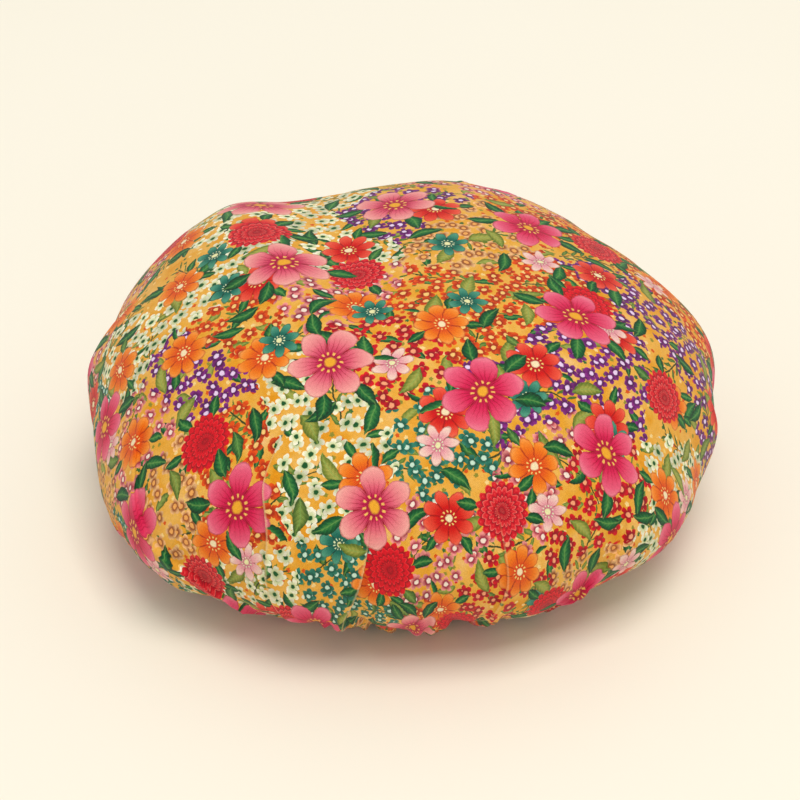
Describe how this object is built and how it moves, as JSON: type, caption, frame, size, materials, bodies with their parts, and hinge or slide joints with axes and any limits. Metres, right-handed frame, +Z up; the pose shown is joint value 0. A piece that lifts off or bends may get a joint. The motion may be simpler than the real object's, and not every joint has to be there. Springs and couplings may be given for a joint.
{
  "type": "shower cap",
  "caption": "Puffed round fabric shower cap with an all-over floral print, a waterproof film lining and a gathered hem whose enclosed elastic lets the mouth stretch open over the hair.",
  "frame": {"origin": "on the resting plane, below the middle of the cap, at the centre of the elastic mouth", "axes": "+X along the cap's widest extent, to the right as the picture sees it; +Y to the back, where the hem's seams are; +Z up through the crown"},
  "size_m": [0.3, 0.27, 0.146],
  "materials": {
    "printed_cloth": "satin",
    "hem_cloth": "satin",
    "lining_film": "satin",
    "elastic": "matte",
    "needle_thread": "satin",
    "bobbin_thread": "satin"
  },
  "bodies": {
    "left_half": {"outer_shell_left_front": "printed_cloth", "outer_shell_left_back": "printed_cloth", "lining_left": "lining_film", "hem_casing_left": "hem_cloth", "elastic_band_left": "elastic", "hem_needle_thread_left": "needle_thread", "hem_bobbin_thread_left": "bobbin_thread", "elastic_join_stitch": "bobbin_thread", "casing_end_seam": "bobbin_thread"},
    "right_half": {"outer_shell_right_front": "printed_cloth", "outer_shell_right_back": "printed_cloth", "lining_right": "lining_film", "hem_casing_right": "hem_cloth", "elastic_band_right": "elastic", "hem_needle_thread_right": "needle_thread", "hem_bobbin_thread_right": "bobbin_thread"}
  },
  "joints": [
    {"name": "mouth_open", "type": "hinge", "parent": "left_half", "child": "right_half", "pos_m": [0, 0, 0.1465], "axis": [0, -1, 0], "range_deg": [0, 26], "stiffness_Nm_per_rad": 1, "springref_deg": -6.88}
  ]
}
